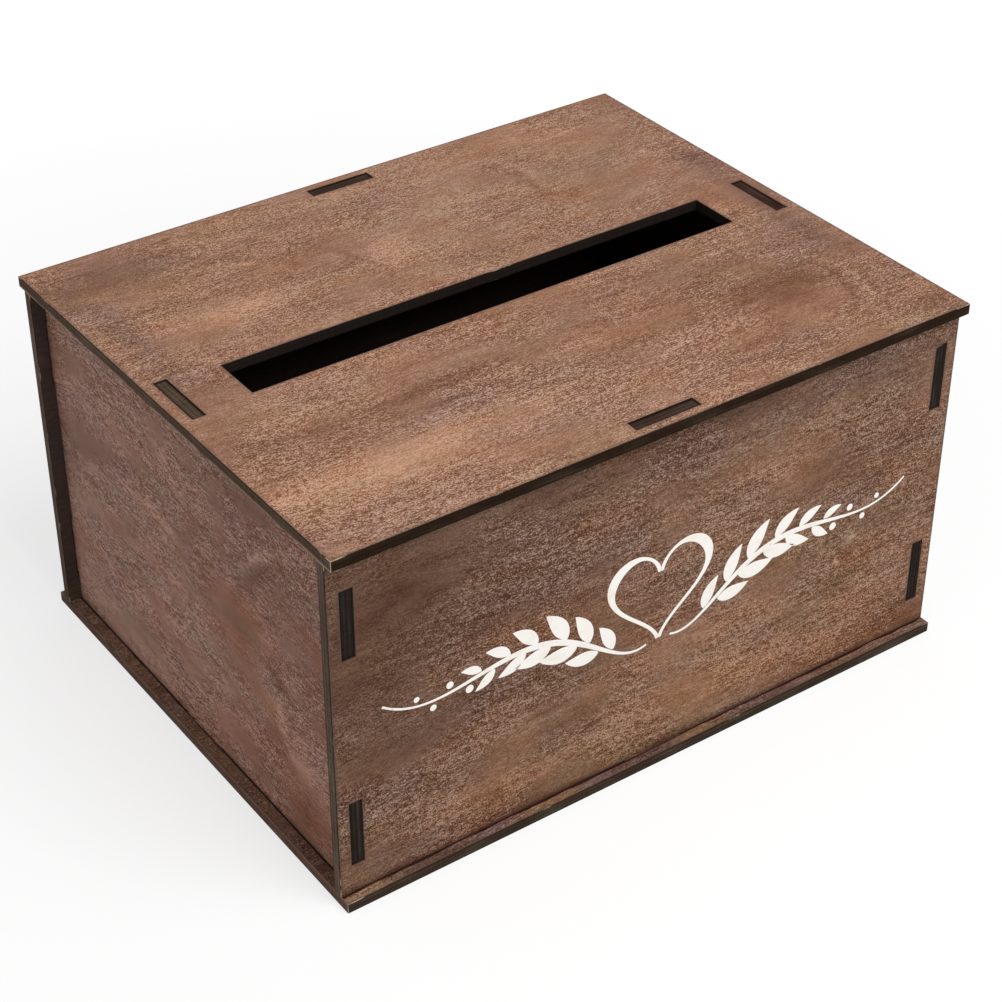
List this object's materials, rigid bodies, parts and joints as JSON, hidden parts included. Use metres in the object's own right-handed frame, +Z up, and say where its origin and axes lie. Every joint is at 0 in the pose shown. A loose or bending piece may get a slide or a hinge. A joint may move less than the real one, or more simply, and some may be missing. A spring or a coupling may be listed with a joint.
{
  "type": "wedding card box",
  "caption": "Free-standing box of dark stained plywood panels joined by tabs in mortises, with a lift-off lid that has a long slot for posting cards.",
  "frame": {"origin": "on the underside of the base, under the middle of the box", "axes": "+X to the right along the front, +Y from the front to the back, +Z up through the lid"},
  "size_m": [0.254, 0.203, 0.14],
  "materials": {
    "stained_plywood": "walnut stain on rotary-cut veneer, satin, with charred laser-cut edges",
    "cream_paint": "thin flat film of cream white paint"
  },
  "bodies": {
    "base": {"base_panel": "stained_plywood"},
    "walls": {"front_panel": "stained_plywood", "back_panel": "stained_plywood", "left_side_panel": "stained_plywood", "right_side_panel": "stained_plywood"},
    "lid": {"lid_panel": "stained_plywood"}
  },
  "joints": [
    {"name": "walls_lift", "type": "slide", "parent": "base", "child": "walls", "axis": [0, 0, 1], "range_m": [0, 0.15]},
    {"name": "lid_lift", "type": "slide", "parent": "walls", "child": "lid", "axis": [0, 0, 1], "range_m": [0, 0.15]}
  ]
}
